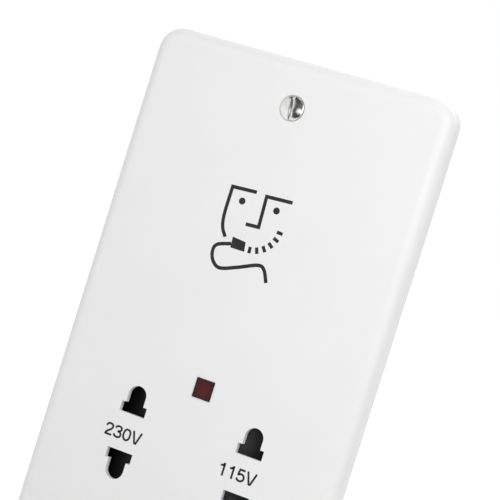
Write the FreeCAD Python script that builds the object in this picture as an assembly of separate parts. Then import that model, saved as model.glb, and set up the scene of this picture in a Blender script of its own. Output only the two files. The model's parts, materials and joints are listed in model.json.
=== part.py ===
import FreeCAD, Part
import os
from math import cos, pi, sin

# Dual-voltage shaver socket for a two-gang wall box, in millimetres.
# X runs to the right, Z up, and the face looks along -Y. The wall plane is Y = 0,
# and the origin lies on it midway between the two fixing screws.

V = FreeCAD.Vector

# How far cuts run past the faces they open, how deep added pieces sink into the wall that
# carries them, and the smallest difference that counts
CUT_PAST = 1.0
WELD = 0.5
TINY = 0.001

# Front plate
PLATE_WIDTH = 86.0
PLATE_HEIGHT = 146.0
PLATE_DEPTH = 6.8
PLATE_WALL = 2.4
PLATE_CORNER = 4.0
PLATE_INNER_CORNER = 1.6
PLATE_EDGE = 3.5
PLATE_RIB = 1.2
PLATE_RIB_REST = 0.8
PLATE_RIB_PITCH = 22.0

# Fixing screws of the plate
FIXING_CENTRES = 120.6
FIXING_THREAD = 3.5
FIXING_SHANK = 2.9
FIXING_HEAD = 6.5
FIXING_CONE = 2.0
FIXING_DOME = 0.9
FIXING_SLOT = 1.0
FIXING_SLOT_DEPTH = 1.1
FIXING_SLOT_TURN = 6.0
FIXING_REACH = 24.0
FIXING_GAP = 0.3
PILLAR_WALL = 2.0
PILLAR_REST = 0.6

# Outlets: pitches of the flat blades, of the thick pins and of the thin pins, how far the slots run
# past the outermost pin, and the thickness of the face round them
OUTLET_X = 17.4
OUTLET_Z = -33.5
BLADE_PITCH = 12.7
PIN_PITCH = 16.6
THIN_PIN_PITCH = 19.0
PIN_SLOT = 5.2
BLADE_SLOT = 7.5
BLADE_SLOT_TALL = 2.7
SLOT_END = 0.6
OUTLET_FACE = 1.6

# Indicator
LENS_SIDE = 5.1
LENS_Z = -16.0
LENS_PROUD = 0.25
LENS_GAP = 0.1
LENS_FLANGE = 0.7
LENS_FLANGE_DEPTH = 1.2
LENS_STUB = 1.0
NEON_DIAMETER = 4.0
NEON_LENGTH = 11.0
NEON_LEAD = 0.7
NEON_LEAD_LENGTH = 3.0
NEON_GAP = 0.3
SADDLE_WALL = 0.6
SADDLE_THICK = 1.2
RESISTOR_DIAMETER = 2.2
RESISTOR_LENGTH = 5.0

# Shutter slide
SHUTTER_COVER = 0.4
SHUTTER_BASE = 1.8
SHUTTER_RAMP = 4.4
SHUTTER_TRACK = 0.8
SHUTTER_FRONT_GAP = 0.4
SLIDE_GAP = 0.25
FINGER_WIDTH = 3.0
FINGER_TALL = 8.0
FINGER_REACH = 11.0
FINGER_OFFSET = 7.5

# Centring spring
SPRING_DIAMETER = 3.6
SPRING_WIRE = 0.6
SPRING_LENGTH = 14.0
SPRING_TURNS = 5
SPRING_STEPS = 10
WIRE_SIDES = 6
SPRING_GAP = 0.3

# Contact carrier, contacts and switch poles
CARRIER_FRONT = 3.4
CARRIER_WALL = 1.4
CARRIER_LIP = 0.6
CARRIER_FOOT = 2.6
CARRIER_FOOT_WIDTH = 6.0
COVER_THICK = 1.6
CONTACT_STRIP = 0.5
CONTACT_WIDTH = 6.8
CONTACT_LENGTH = 11.2
CONTACT_SPREAD = 7.0
CONTACT_PINCH = 4.6
CONTACT_MOUTH = 6.2
CONTACT_LIP = 2.2
CONTACT_GAP = 0.3
TAIL_WIDTH = 3.0
TAIL_REACH = 2.6
TAIL_GAP = 0.2
POLE_TALL = 2.8
POLE_SPLIT = 2.0
POLE_LENGTH = 10.4
BRIDGE_STRIP = 0.5
BRIDGE_LENGTH = 6.0
SWITCH_GAP = 0.3
WIRING_SPACE = 5.0

# Stamped strips that join terminals, switch, contacts and windings
BUS_STRIP = 0.6
BUS_WIDTH = 2.4
BUS_GAP = 0.5
BUS_PAD = 1.7
BUS_INSET = 1.0
BUS_REACH = 4.0

# Transformer
CORE_LEG = 16.0
CORE_WINDOW = 8.0
CORE_WINDOW_TALL = 24.0
CORE_STACK = 20.0
CORE_ABOVE_LAMP = 9.0
BOBBIN_WALL = 1.0
BOBBIN_FLANGE = 1.2
BOBBIN_GAP = 0.25
COIL_BUILD = 6.6
FLANGE_RIM = 0.6
COIL_CORNER = 2.5
CUTOUT_WIDTH = 8.0
CUTOUT_TALL = 15.0
CUTOUT_THICK = 3.4
CUTOUT_GAP = 0.4
CUTOUT_OFFSET = 2.0
CUTOUT_CORNER = 0.8
STRAP_WIDTH = 6.0
STRAP_THICK = 0.8
STRAP_FOOT = 6.4
STRAP_GAP = 0.1
STRAP_POST = 5.0
REST_WIDTH = 2.0
REST_LENGTH = 10.0

# Rear housing
HOUSING_WALL = 2.2
HOUSING_CORNER = 3.0
HOUSING_EDGE = 1.2
HOUSING_GAP = 0.4
HOUSING_FLOOR_GAP = 0.6
EAR_X = 24.0
EAR_WIDTH = 9.0
EAR_REACH = 8.0
EAR_THICK = 2.4
EAR_CORNER = 3.0
PLATE_BOSS_TALL = 6.4
CLAMP_RIB = 2.0
CLAMP_RIB_OVERLAP = 2.0

# Tapping screws that join the mouldings
SCREW_SHANK = 2.9
SCREW_HEAD = 5.6
SCREW_HEAD_TALL = 1.8
SCREW_HEAD_GAP = 0.3
SCREW_LENGTH = 6.0
SCREW_GAP = 0.15
SCREW_END_GAP = 0.4
BOSS_WALL = 1.7
BOSS_END = 0.6

# Mains terminals on the back of the lower part
TERMINAL_PITCH = 16.0
TERMINAL_COUNT = 3
TERMINAL_SIDE = 8.4
TERMINAL_DEPTH = 9.0
TERMINAL_GAP = 0.25
TERMINAL_BORE = 4.4
TERMINAL_BORE_BACK = 4.0
TERMINAL_TAIL = 1.0
TERMINAL_TAIL_WIDTH = 4.0
TERMINAL_TAIL_REACH = 3.0
TERMINAL_SCREW = 4.0
TERMINAL_SCREW_HEAD = 5.6
TERMINAL_SCREW_HEAD_TALL = 1.6
TERMINAL_SCREW_SLOT = 0.8
TERMINAL_SCREW_SLOT_DEPTH = 0.9
BLOCK_WALL = 1.6
BLOCK_BASE = 2.0
BLOCK_LEDGE = 1.5
BLOCK_CORNER = 1.0

# Places worked out along Y, from the face to the back
y_face = -PLATE_DEPTH
y_inner = y_face + PLATE_WALL
y_outlet = y_face + OUTLET_FACE
y_ramp = y_outlet + SHUTTER_FRONT_GAP
y_base = y_ramp + SHUTTER_RAMP
y_base_back = y_base + SHUTTER_BASE
y_carrier = y_base_back + SLIDE_GAP
y_pocket = y_carrier + CARRIER_FRONT
y_cover = y_pocket + CONTACT_GAP + max(CONTACT_LENGTH, POLE_LENGTH)
y_cover_back = y_cover + COVER_THICK
y_low_inner = y_cover_back + WIRING_SPACE
y_low = y_low_inner + HOUSING_WALL
y_tail = y_cover_back + TAIL_REACH

# Shutter sizes, from the openings that it covers
opening_inner = BLADE_PITCH / 2 - BLADE_SLOT_TALL / 2
opening_outer = (THIN_PIN_PITCH + PIN_SLOT) / 2 + SLOT_END
ramp_width = max(BLADE_SLOT, PIN_SLOT) + 2 * SHUTTER_COVER
travel = ramp_width
slide_half = OUTLET_X + ramp_width / 2
slide_reach = slide_half + travel
ramp_top = opening_outer + SHUTTER_COVER
slide_tall = ramp_top + SHUTTER_TRACK
track_half = (SHUTTER_TRACK - SLIDE_GAP) / 2
track_middle = ramp_top + SLIDE_GAP + SHUTTER_TRACK / 2
carrier_tall = slide_tall + SLIDE_GAP + CARRIER_LIP
finger_z = OUTLET_Z - FINGER_OFFSET
y_spring = y_base_back + SLIDE_GAP / 2

# Contact pockets
pocket_half = CONTACT_WIDTH / 2 + CONTACT_GAP
pocket_tall = CONTACT_SPREAD / 2 + CONTACT_GAP
carrier_half = OUTLET_X + max(pocket_half, ramp_width / 2) + CARRIER_WALL
foot_edge = carrier_tall + CARRIER_FOOT
lamp_reach = NEON_LENGTH / 2 + NEON_LEAD_LENGTH + RESISTOR_LENGTH + NEON_LEAD_LENGTH
foot_x = max(carrier_half, lamp_reach + HOUSING_GAP + CARRIER_FOOT_WIDTH) - CARRIER_FOOT_WIDTH / 2

# Transformer: the yokes and outer legs are half as wide as the middle leg
core_yoke = CORE_LEG / 2
core_half = CORE_LEG / 2 + CORE_WINDOW + core_yoke
core_tall = CORE_WINDOW_TALL + 2 * core_yoke
tube_half = CORE_LEG / 2 + BOBBIN_GAP + BOBBIN_WALL
tube_deep = CORE_STACK / 2 + BOBBIN_GAP + BOBBIN_WALL
flange_half = CORE_LEG / 2 + CORE_WINDOW - BOBBIN_GAP
flange_deep = tube_deep + COIL_BUILD + FLANGE_RIM
coil_half = flange_half - FLANGE_RIM
coil_deep = tube_deep + COIL_BUILD
y_flange = y_inner + CUTOUT_GAP + CUTOUT_THICK
y_core = y_flange + flange_deep
y_core_front = y_core - CORE_STACK / 2
y_core_back = y_core + CORE_STACK / 2
y_strap = y_low_inner - STRAP_POST
y_rear_inner = y_core + flange_deep + HOUSING_FLOOR_GAP
y_rear = y_rear_inner + HOUSING_WALL
z_core_bottom = LENS_Z + NEON_DIAMETER / 2 + SADDLE_WALL + CORE_ABOVE_LAMP
z_core = z_core_bottom + core_tall / 2
z_flange = z_core - CORE_WINDOW_TALL / 2 + BOBBIN_GAP
strap_z = (CORE_WINDOW_TALL + core_yoke) / 2
strap_out = core_half + STRAP_GAP + STRAP_THICK
strap_screw_x = strap_out + STRAP_FOOT / 2

# Housing outline
widest = max(slide_reach, foot_x + CARRIER_FOOT_WIDTH / 2, strap_out + STRAP_FOOT)
inner_half = widest + HOUSING_GAP
housing_half = inner_half + HOUSING_WALL
deep_inner_half = core_half + HOUSING_GAP
deep_half = deep_inner_half + HOUSING_WALL
z_bottom_inner = OUTLET_Z - foot_edge - HOUSING_GAP
z_bottom = z_bottom_inner - HOUSING_WALL
z_top_inner = z_core_bottom + core_tall + HOUSING_GAP
z_top = z_top_inner + HOUSING_WALL
z_step_inner = z_core_bottom - HOUSING_GAP
z_step = z_step_inner - HOUSING_WALL
y_boss = y_inner + PLATE_BOSS_TALL
ear_places = [(side * EAR_X, z) for side in (-1, 1)
              for z in (z_bottom - EAR_REACH / 2, z_top + EAR_REACH / 2)]

# Lamp
y_stub = y_inner + LENS_FLANGE_DEPTH + LENS_STUB
y_neon = y_stub + NEON_GAP + NEON_DIAMETER / 2

# Terminal block
cell_half = TERMINAL_SIDE / 2 + TERMINAL_GAP
block_half = (TERMINAL_COUNT - 1) * TERMINAL_PITCH / 2 + cell_half + BLOCK_WALL
block_z = z_bottom + BLOCK_LEDGE + BLOCK_WALL + cell_half
block_tall = cell_half + BLOCK_WALL
y_cell = y_low + BLOCK_BASE
y_block = y_cell + TERMINAL_DEPTH + SCREW_HEAD_TALL
terminal_xs = [(i - (TERMINAL_COUNT - 1) / 2) * TERMINAL_PITCH for i in range(TERMINAL_COUNT)]
block_screw_xs = [(a + b) / 2 for a, b in zip(terminal_xs, terminal_xs[1:])]
screw_bore = SCREW_SHANK + 2 * SCREW_GAP
boss_diameter = screw_bore + 2 * BOSS_WALL

# Strips: the height at which they run forward over the lamp, and their places across
z_run = LENS_Z + NEON_DIAMETER / 2 + SADDLE_WALL + BUS_GAP
z_leg = block_z + boss_diameter / 2 + BUS_GAP
outlet_bus = OUTLET_X - BUS_REACH
side_bus = outlet_bus - BUS_GAP - BUS_WIDTH / 2
load_bus = -TAIL_WIDTH / 2 - BUS_GAP - BUS_WIDTH / 2
cutout_x = -side_bus + CUTOUT_OFFSET
y_cutout = y_inner + CUTOUT_GAP


def box(x0, x1, y0, y1, z0, z1):
    return Part.makeBox(x1 - x0, y1 - y0, z1 - z0, V(x0, y0, z0))


def bar(x, z, half_x, half_z, y0, y1):
    """A block along Y, centred on a place of the face."""
    return box(x - half_x, x + half_x, y0, y1, z - half_z, z + half_z)


def pin(diameter, x, z, y0, y1):
    """A round pin along Y."""
    return Part.makeCylinder(diameter / 2, y1 - y0, V(x, y0, z), V(0, 1, 0))


def rod(diameter, x0, x1, y, z):
    """A round rod along X."""
    return Part.makeCylinder(diameter / 2, x1 - x0, V(x0, y, z), V(1, 0, 0))


def turned(points, x, z):
    """A body turned about a line along Y, from (radius, y) points."""
    outline = Part.makePolygon([V(x + r, y, z) for r, y in points + points[:1]])
    return Part.Face(outline).revolve(V(x, 0, z), V(0, 1, 0), 360)


def drawn(points, axis):
    """A prism from corner points, drawn along a vector."""
    return Part.Face(Part.makePolygon(points + points[:1])).extrude(axis)


def ribbon(path, thick):
    """The corners of a flat strip that is bent along a path in a plane, to the path's left."""
    edge = []
    for i, (a, b) in enumerate(path):
        before = unit(path[max(i - 1, 0)], path[max(i, 1)])
        after = unit(path[min(i, len(path) - 2)], path[min(i + 1, len(path) - 1)])
        share = 1 + before[0] * after[0] + before[1] * after[1]
        edge.append((a - thick * (before[1] + after[1]) / share,
                     b + thick * (before[0] + after[0]) / share))
    return path + edge[::-1]


def unit(start, end):
    dx, dy = end[0] - start[0], end[1] - start[1]
    length = (dx * dx + dy * dy) ** 0.5
    return dx / length, dy / length


def along(shape, direction, at_least):
    """The straight edges of a shape that run along an axis and are long enough."""
    lines = [e for e in shape.Edges if len(e.Vertexes) == 2 and e.Curve.TypeId == "Part::GeomLine"]
    return [e for e in lines
            if e.Length > at_least - TINY and abs(e.tangentAt(e.FirstParameter).dot(direction)) > 1 - TINY]


def rim(shape, y):
    """The edges of a shape that lie in a plane across Y."""
    return [e for e in shape.Edges if max(abs(e.BoundBox.YMin - y), abs(e.BoundBox.YMax - y)) < TINY]


def rounded_bar(x, z, half_x, half_z, y0, y1, radius):
    """A block along Y with its four long edges rounded."""
    block = bar(x, z, half_x, half_z, y0, y1)
    return block.makeFillet(radius, along(block, V(0, 1, 0), y1 - y0))


def keyhole(x, side, y0, y1):
    """One opening of an outlet: a blade slot with a round-ended pin slot outwards of it.

    side is 1 for the upper opening and -1 for the lower one, which is the same turned half round.
    """
    half_blade, half_pin = BLADE_SLOT / 2, PIN_SLOT / 2
    shoulder = opening_inner + BLADE_SLOT_TALL
    arc_z = opening_outer - half_pin

    def at(dx, dz):
        return V(x + side * dx, y0, OUTLET_Z + side * dz)

    line = [at(-half_pin, arc_z), at(-half_pin, shoulder), at(-half_blade, shoulder),
            at(-half_blade, opening_inner), at(half_blade, opening_inner), at(half_blade, shoulder),
            at(half_pin, shoulder), at(half_pin, arc_z)]
    edges = [Part.makeLine(a, b) for a, b in zip(line, line[1:])]
    edges.append(Part.Arc(line[-1], at(0, opening_outer), line[0]).toShape())
    return Part.Face(Part.Wire(edges)).extrude(V(0, y1 - y0, 0))


def openings(y0, y1):
    return [keyhole(x, side, y0, y1) for x in (-OUTLET_X, OUTLET_X) for side in (1, -1)]


def tapping_screw(x, z, y_seat, inwards):
    """A cheese-head screw whose head sits on a face at y_seat; inwards is the way it is driven."""
    tip = y_seat + inwards * SCREW_LENGTH
    top = y_seat - inwards * SCREW_HEAD_TALL
    return turned([(0, tip), (SCREW_SHANK / 2, tip), (SCREW_SHANK / 2, y_seat), (SCREW_HEAD / 2, y_seat),
                   (SCREW_HEAD / 2, top), (0, top)], x, z)


def screw_hole(x, z, y_seat, inwards):
    tip = y_seat + inwards * (SCREW_LENGTH + SCREW_END_GAP)
    return pin(screw_bore, x, z, min(y_seat, tip), max(y_seat, tip))


# Front plate

def plate_shell():
    """The face with its side walls: an open tray with a rounded rim, thinned behind the outlets."""
    tray = rounded_bar(0, 0, PLATE_WIDTH / 2, PLATE_HEIGHT / 2, y_face, 0, PLATE_CORNER)
    tray = tray.makeFillet(PLATE_EDGE, rim(tray, y_face))
    hollow = rounded_bar(0, 0, PLATE_WIDTH / 2 - PLATE_WALL, PLATE_HEIGHT / 2 - PLATE_WALL, y_inner, 0,
                         PLATE_INNER_CORNER)
    thinned = bar(0, OUTLET_Z, slide_reach + SLIDE_GAP, track_middle - track_half,
                  y_outlet, y_inner + CUT_PAST)
    return tray.cut([hollow, thinned])


def fixing_hole(z):
    """The countersunk hole for a fixing screw."""
    head = FIXING_HEAD / 2 + FIXING_GAP
    shank = FIXING_THREAD / 2 + FIXING_GAP
    start = y_face - CUT_PAST
    return turned([(0, start), (head, start), (head, y_face), (shank, y_face + FIXING_CONE),
                   (shank, CUT_PAST), (0, CUT_PAST)], 0, z)


def plate_ribs():
    """Stiffening ribs between the housing and the side walls, and beyond the housing's ends."""
    ribs = []
    x_wall = PLATE_WIDTH / 2 - PLATE_WALL
    start = housing_half + HOUSING_GAP
    count = int((z_top - z_bottom) / PLATE_RIB_PITCH) + 1
    for side in (-1, 1):
        xs = sorted((side * start, side * x_wall))
        for i in range(count):
            z = z_bottom + (i + 0.5) * (z_top - z_bottom) / count
            ribs.append(box(xs[0], xs[1], y_inner, -PLATE_RIB_REST, z - PLATE_RIB / 2, z + PLATE_RIB / 2))
    return ribs


def lamp_saddles():
    """Two notched ribs that carry the lamp behind the lens."""
    half_z = NEON_DIAMETER / 2 + SADDLE_WALL
    notch = NEON_DIAMETER + 2 * LENS_GAP
    saddles = []
    for side in (-1, 1):
        x = side * (LENS_SIDE / 2 + LENS_FLANGE + SADDLE_THICK / 2)
        rib = bar(x, LENS_Z, SADDLE_THICK / 2, half_z, y_inner, y_neon)
        saddles.append(rib.cut(rod(notch, x - SADDLE_THICK, x + SADDLE_THICK, y_neon, LENS_Z)))
    return saddles


def front_plate():
    plate = plate_shell()
    added = plate_ribs() + lamp_saddles()
    for side in (-1, 1):
        z = side * FIXING_CENTRES / 2
        added.append(pin(FIXING_THREAD + 2 * (FIXING_GAP + PILLAR_WALL), 0, z, y_inner, -PILLAR_REST))
        track_z = OUTLET_Z + side * track_middle
        added.append(bar(0, track_z, slide_half, track_half, y_inner, y_base - SLIDE_GAP))
        for end in (-1, 1):
            foot_z = OUTLET_Z + end * (carrier_tall + CARRIER_FOOT / 2)
            added.append(bar(side * foot_x, foot_z, CARRIER_FOOT_WIDTH / 2, CARRIER_FOOT / 2,
                             y_inner, y_carrier))
    added += [pin(boss_diameter, x, z, y_inner, y_boss) for x, z in ear_places]
    plate = plate.fuse(added)
    start, end = y_face - CUT_PAST, y_inner + CUT_PAST
    window = LENS_SIDE / 2 + LENS_GAP
    cuts = openings(start, end)
    cuts.append(bar(0, LENS_Z, window, window, start, end))
    cuts += [fixing_hole(side * FIXING_CENTRES / 2) for side in (-1, 1)]
    cuts += [screw_hole(x, z, y_boss, -1) for x, z in ear_places]
    return plate.cut(cuts).removeSplitter()


def fixing_screw(z):
    """A slotted raised-head screw: dome, cone, plain shank through the plate and thread behind it."""
    head, shank, thread = FIXING_HEAD / 2, FIXING_SHANK / 2, FIXING_THREAD / 2
    y_top, y_tip = y_face - FIXING_DOME, FIXING_REACH + FIXING_THREAD - FIXING_SHANK
    radius = (head * head + FIXING_DOME * FIXING_DOME) / (2 * FIXING_DOME)
    dome = Part.makeSphere(radius, V(0, y_top + radius, z))
    cap = dome.common(pin(FIXING_HEAD, 0, z, y_top, y_face))
    stem = turned([(0, y_face), (head, y_face), (shank, y_face + FIXING_CONE), (shank, 0), (thread, 0),
                   (thread, FIXING_REACH), (shank, y_tip), (0, y_tip)], 0, z)
    slot = bar(0, z, FIXING_SLOT / 2, head + CUT_PAST, y_top - CUT_PAST, y_top + FIXING_SLOT_DEPTH)
    slot.rotate(V(0, 0, z), V(0, 1, 0), -FIXING_SLOT_TURN)
    return cap.fuse(stem).removeSplitter().cut(slot)


# Indicator

def indicator_lens():
    half = LENS_SIDE / 2
    window = bar(0, LENS_Z, half, half, y_face - LENS_PROUD, y_inner)
    flange = bar(0, LENS_Z, half, half + LENS_FLANGE, y_inner, y_inner + LENS_FLANGE_DEPTH)
    stub = bar(0, LENS_Z, half - LENS_FLANGE, half - LENS_FLANGE, y_inner + LENS_FLANGE_DEPTH, y_stub)
    return window.fuse([flange, stub]).removeSplitter()


def neon_lamp():
    """A glass tube with a lead at either end, lying along X."""
    half = NEON_LENGTH / 2
    tube = rod(NEON_DIAMETER, -half, half, y_neon, LENS_Z)
    lead = rod(NEON_LEAD, -half - NEON_LEAD_LENGTH, half + NEON_LEAD_LENGTH, y_neon, LENS_Z)
    return tube.fuse(lead)


def neon_resistor():
    start = NEON_LENGTH / 2 + NEON_LEAD_LENGTH
    body = rod(RESISTOR_DIAMETER, start, start + RESISTOR_LENGTH, y_neon, LENS_Z)
    lead = rod(NEON_LEAD, start, start + RESISTOR_LENGTH + NEON_LEAD_LENGTH, y_neon, LENS_Z)
    return body.fuse(lead)


# Shutter slide

def shutter_ramp(x, side):
    """A wedge behind one opening: a pin that is pushed in drives the slide towards the other outlet."""
    outwards = 1 if x > 0 else -1
    outer = x + outwards * ramp_width / 2
    inner = x - outwards * ramp_width / 2
    z0 = OUTLET_Z + side * (opening_inner - SHUTTER_COVER)
    points = [V(outer, y_base, z0), V(inner, y_base, z0), V(inner, y_ramp, z0)]
    return drawn(points, V(0, 0, side * (ramp_top - opening_inner + SHUTTER_COVER)))


def shutter_slide():
    base = bar(0, OUTLET_Z, slide_half, slide_tall, y_base, y_base_back)
    ramps = [shutter_ramp(x, side) for x in (-OUTLET_X, OUTLET_X) for side in (1, -1)]
    finger = bar(0, finger_z, FINGER_WIDTH / 2, FINGER_TALL / 2, y_base_back, y_base_back + FINGER_REACH)
    window = bar(0, OUTLET_Z, SPRING_LENGTH / 2, SPRING_DIAMETER / 2 + SPRING_GAP,
                 y_base - CUT_PAST, y_base_back + CUT_PAST)
    return base.fuse(ramps + [finger]).cut(window).removeSplitter()


def bridge_contact():
    """A strip folded round the finger's tip."""
    side, tip = FINGER_WIDTH / 2, y_base_back + FINGER_REACH
    path = [(side, tip - BRIDGE_LENGTH), (side, tip), (-side, tip), (-side, tip - BRIDGE_LENGTH)]
    corners = ribbon(path[::-1], BRIDGE_STRIP)
    z0 = finger_z - FINGER_TALL / 2
    return drawn([V(x, y, z0) for x, y in corners], V(0, 0, FINGER_TALL))


def centring_spring():
    """A coil spring along X, in the slide's window and the carrier's trough."""
    radius, wire = (SPRING_DIAMETER - SPRING_WIRE) / 2, SPRING_WIRE / 2
    length = SPRING_LENGTH - SPRING_WIRE
    count = SPRING_TURNS * SPRING_STEPS
    turns = [2 * pi * i / SPRING_STEPS for i in range(count + 1)]
    path = [V((i / count - 0.5) * length, y_spring + radius * cos(a), OUTLET_Z + radius * sin(a))
            for i, a in enumerate(turns)]
    sides = [2 * pi * k / WIRE_SIDES for k in range(WIRE_SIDES + 1)]
    section = [path[0] + V(wire * cos(a), wire * sin(a), 0) for a in sides]
    sharp_corners = 1
    return Part.makePolygon(path).makePipeShell([Part.makePolygon(section)], True, False, sharp_corners)


# Contact carrier

def carrier_pockets():
    pockets = []
    for x in (-OUTLET_X, OUTLET_X):
        for side in (1, -1):
            z = OUTLET_Z + side * PIN_PITCH / 2
            pockets.append(bar(x, z, pocket_half, pocket_tall, y_pocket, y_cover))
    return pockets


switch_half = FINGER_WIDTH / 2 + BRIDGE_STRIP + travel + SWITCH_GAP
pole_z = [finger_z + side * (POLE_SPLIT + POLE_TALL) / 2 for side in (1, -1)]


def contact_carrier():
    body = bar(0, OUTLET_Z, carrier_half, carrier_tall, y_carrier, y_cover)
    lip_y = y_base + SLIDE_GAP
    for side in (-1, 1):
        lip_z = OUTLET_Z + side * (carrier_tall - CARRIER_LIP / 2)
        foot_z = OUTLET_Z + side * (carrier_tall + CARRIER_FOOT / 2)
        body = body.fuse(bar(0, lip_z, carrier_half, CARRIER_LIP / 2, lip_y, y_carrier))
        for x in (-foot_x, foot_x):
            body = body.fuse(bar(x, foot_z, CARRIER_FOOT_WIDTH / 2, CARRIER_FOOT / 2, y_carrier, y_pocket))
    trough = rod(SPRING_DIAMETER + 2 * SPRING_GAP, -SPRING_LENGTH / 2, SPRING_LENGTH / 2, y_spring, OUTLET_Z)
    cell = bar(0, finger_z, switch_half + CONTACT_STRIP + CONTACT_GAP,
               POLE_TALL + POLE_SPLIT / 2 + CONTACT_GAP, y_pocket, y_cover)
    start, end = y_carrier - CUT_PAST, y_pocket + CUT_PAST
    slot = bar(0, finger_z, FINGER_WIDTH / 2 + travel + SLIDE_GAP, FINGER_TALL / 2 + SLIDE_GAP, start, end)
    return body.cut(openings(start, end) + carrier_pockets() + [trough, cell, slot]).removeSplitter()


def tail_slot(x, z):
    return bar(x, z, TAIL_WIDTH / 2 + TAIL_GAP, CONTACT_STRIP / 2 + TAIL_GAP,
               y_cover - CUT_PAST, y_cover_back + CUT_PAST)


def contact_cover():
    cover = bar(0, OUTLET_Z, carrier_half, carrier_tall, y_cover, y_cover_back)
    slots = [tail_slot(x, OUTLET_Z + side * PIN_PITCH / 2) for x in (-OUTLET_X, OUTLET_X) for side in (1, -1)]
    return cover.cut(slots + [tail_slot(0, z) for z in pole_z])


def tail(x, z):
    """The soldering tail of a contact, through its slot in the cover."""
    return bar(x, z, TAIL_WIDTH / 2, CONTACT_STRIP / 2, y_cover, y_cover_back + TAIL_REACH)


def contact(x, side):
    """A pin contact: a strip bent to a U whose two leaves pinch the pin and flare at the mouth."""
    z = OUTLET_Z + side * PIN_PITCH / 2
    mouth_y = y_cover - CONTACT_LENGTH
    half = CONTACT_SPREAD / 2 - CONTACT_STRIP
    path = [(mouth_y, -CONTACT_MOUTH / 2), (mouth_y + CONTACT_LIP, -CONTACT_PINCH / 2),
            (y_cover - CONTACT_STRIP, -half), (y_cover - CONTACT_STRIP, half),
            (mouth_y + CONTACT_LIP, CONTACT_PINCH / 2), (mouth_y, CONTACT_MOUTH / 2)]
    corners = [V(x - CONTACT_WIDTH / 2, y, z + dz) for y, dz in ribbon(path[::-1], CONTACT_STRIP)]
    return drawn(corners, V(CONTACT_WIDTH, 0, 0)).fuse(tail(x, z)).removeSplitter()


def switch_pole(z):
    """A fixed pole of the switch: a strip bent to a U, with one leaf for each end of the travel."""
    y0, y1 = y_cover - POLE_LENGTH, y_cover - CONTACT_STRIP
    path = [(-switch_half, y0), (-switch_half, y1), (switch_half, y1), (switch_half, y0)]
    corners = [V(x, y, z - POLE_TALL / 2) for x, y in ribbon(path, CONTACT_STRIP)]
    return drawn(corners, V(0, 0, POLE_TALL)).fuse(tail(0, z)).removeSplitter()


# Transformer

def core_e_stack():
    """Back yoke and three legs."""
    bottom, top = z_core_bottom, z_core_bottom + core_tall - core_yoke
    legs = box(-core_half, core_half, y_core_front, y_core_back, bottom, top)
    middle = (CORE_LEG + CORE_WINDOW) / 2
    windows = [bar(x, (bottom + core_yoke + top) / 2, CORE_WINDOW / 2, CORE_WINDOW_TALL / 2,
                   y_core_front - CUT_PAST, y_core_back + CUT_PAST) for x in (-middle, middle)]
    return legs.cut(windows)


def core_i_stack():
    top = z_core_bottom + core_tall
    return box(-core_half, core_half, y_core_front, y_core_back, top - core_yoke, top)


def coil_block(half_x, half_y, z0, z1):
    """A block about the core's middle leg."""
    return box(-half_x, half_x, y_core - half_y, y_core + half_y, z0, z1)


def coil_rounded(half_x, half_y, z0, z1):
    block = coil_block(half_x, half_y, z0, z1)
    return block.makeFillet(COIL_CORNER, along(block, V(0, 0, 1), z1 - z0))


def bobbin():
    """A tube on the middle leg with three flanges, which part the two windings."""
    half_z = CORE_WINDOW_TALL / 2 - BOBBIN_GAP
    z0, z1 = z_core - half_z, z_core + half_z
    tube = coil_block(tube_half, tube_deep, z0, z1)
    flanges = [coil_rounded(flange_half, flange_deep, z, z + BOBBIN_FLANGE)
               for z in (z0, z_core - BOBBIN_FLANGE / 2, z1 - BOBBIN_FLANGE)]
    bore = coil_block(tube_half - BOBBIN_WALL, tube_deep - BOBBIN_WALL, z0 - CUT_PAST, z1 + CUT_PAST)
    return tube.fuse(flanges).cut(bore).removeSplitter()


def winding(side):
    """A wound coil in one chamber of the bobbin; side is -1 for the lower chamber."""
    near = BOBBIN_FLANGE / 2 + BOBBIN_GAP
    far = CORE_WINDOW_TALL / 2 - BOBBIN_GAP - BOBBIN_FLANGE - BOBBIN_GAP
    z0, z1 = sorted((z_core + side * near, z_core + side * far))
    hole = coil_block(tube_half + BOBBIN_GAP, tube_deep + BOBBIN_GAP, z0 - CUT_PAST, z1 + CUT_PAST)
    return coil_rounded(coil_half, coil_deep, z0, z1).cut(hole)


def thermal_cutout():
    """A flat sealed switch that lies on the front of the coil."""
    return rounded_bar(cutout_x, z_core, CUTOUT_WIDTH / 2, CUTOUT_TALL / 2, y_cutout, y_flange, CUTOUT_CORNER)


def core_strap(side):
    """A hat-shaped steel strap over one yoke, with a foot on either side."""
    x = core_half + STRAP_GAP
    y_front, foot = y_core_front - STRAP_GAP, strap_out + STRAP_FOOT
    path = [(-foot, y_strap), (-x, y_strap), (-x, y_front), (x, y_front), (x, y_strap), (foot, y_strap)]
    z0 = z_core + side * strap_z - STRAP_WIDTH / 2
    strap = drawn([V(a, b, z0) for a, b in ribbon(path[::-1], STRAP_THICK)], V(0, 0, STRAP_WIDTH))
    holes = [pin(screw_bore, end * strap_screw_x, z_core + side * strap_z,
                 y_strap - STRAP_THICK - CUT_PAST, y_strap + CUT_PAST) for end in (-1, 1)]
    return strap.cut(holes)


# Rear housing

def housing_tub(half, z0, z1, y_back):
    """The outside of one part of the housing, with rounded corners and a bevelled back edge."""
    tub = rounded_bar(0, (z0 + z1) / 2, half, (z1 - z0) / 2, y_inner, y_back, HOUSING_CORNER)
    return tub.makeChamfer(HOUSING_EDGE, rim(tub, y_back))


def housing_shell():
    """A wide shallow tub that steps back to a narrower deep one round the transformer."""
    shallow = housing_tub(housing_half, z_bottom, z_top, y_low)
    outside = shallow.fuse(housing_tub(deep_half, z_step, z_top, y_rear))
    front = y_inner - CUT_PAST
    low = box(-inner_half, inner_half, front, y_low_inner, z_bottom_inner, z_top_inner)
    deep = box(-deep_inner_half, deep_inner_half, front, y_rear_inner, z_step_inner, z_top_inner)
    return outside.cut([low, deep]).removeSplitter()


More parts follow.
